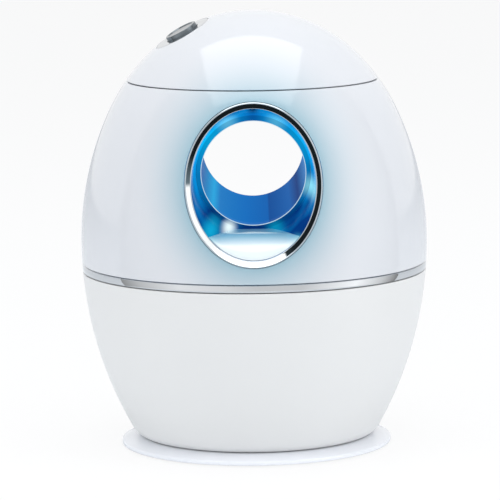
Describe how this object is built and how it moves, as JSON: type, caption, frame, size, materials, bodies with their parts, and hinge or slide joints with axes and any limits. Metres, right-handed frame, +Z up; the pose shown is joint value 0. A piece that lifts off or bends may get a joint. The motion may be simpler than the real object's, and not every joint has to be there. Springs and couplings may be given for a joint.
{
  "type": "cool mist humidifier",
  "caption": "Egg-shaped cool mist humidifier with a see-through air tube, lit window bowl, chrome trim band, lift-off lid with push button and a flared foot disc.",
  "frame": {"origin": "middle of the footprint, on the surface the rubber pads stand on", "axes": "+Z up, front (the window) towards -Y, +X to the right seen from the front"},
  "size_m": [0.165, 0.1659, 0.208],
  "materials": {
    "gloss_shell": "high-gloss injection moulded ABS, white",
    "satin_shell": "satin injection moulded ABS, white",
    "base_plastic": "gloss moulded ABS, cool white",
    "chrome_trim": "bright chrome plated ABS",
    "light_plastic": "translucent blue-lit polycarbonate, polished",
    "sill_plastic": "gloss white ABS",
    "tank_plastic": "translucent polypropylene",
    "inner_plastic": "moulded ABS, unpolished",
    "dark_plastic": "black moulded nylon",
    "rubber_grey": "moulded silicone",
    "wick_fibre": "bonded cotton fibre",
    "spring_steel": "drawn spring wire",
    "bright_steel": "zinc plated steel",
    "disc_metal": "nickel brass piezo disc",
    "circuit_board": "solder-masked glass epoxy",
    "board_parts": "moulded electronic parts",
    "led": "clear encapsulated LED"
  },
  "bodies": {
    "housing": {"base_foot": "base_plastic", "foot_pads": "rubber_grey", "base_screws": "bright_steel", "lower_shell": "satin_shell", "trim_band": "chrome_trim", "water_tank": "tank_plastic", "tank_gasket": "rubber_grey", "tank_deck": "inner_plastic", "wick_holder": "inner_plastic", "wick_spring": "spring_steel", "wick": "wick_fibre", "atomizer_disc": "disc_metal", "atomizer_seal": "rubber_grey", "air_tube": "light_plastic", "air_duct": "inner_plastic", "window_bezel": "chrome_trim", "light_bowl": "light_plastic", "window_sill": "sill_plastic", "light_board": "circuit_board", "lights": "led", "upper_shell": "gloss_shell", "rear_ring": "chrome_trim", "intake_grille": "gloss_shell", "blower_housing": "inner_plastic", "blower_cover": "inner_plastic", "motor": "bright_steel", "fill_tray": "inner_plastic", "fill_pipe": "tank_plastic", "lid_seal": "rubber_grey", "button_switch": "dark_plastic", "switch_bracket": "inner_plastic", "control_board": "circuit_board", "board_screws": "bright_steel", "board_parts": "board_parts", "power_jack": "bright_steel"},
    "lid": {"lid": "gloss_shell", "button_escutcheon": "chrome_trim", "button_spring": "spring_steel"},
    "button": {"power_button": "chrome_trim"},
    "wheel": {"impeller": "dark_plastic", "motor_shaft": "bright_steel"}
  },
  "joints": [
    {"name": "lid_lift", "type": "slide", "parent": "housing", "child": "lid", "axis": [0, 0, 1], "range_m": [0, 0.08]},
    {"name": "button_press", "type": "slide", "parent": "lid", "child": "button", "axis": [0.4774, 0.0842, -0.8746], "range_m": [0, 0.0012], "stiffness_N_per_m": 1500},
    {"name": "wheel_spin", "type": "hinge", "parent": "housing", "child": "wheel", "pos_m": [0, 0.02, 0.09], "axis": [0, 0, 1], "continuous": true}
  ]
}
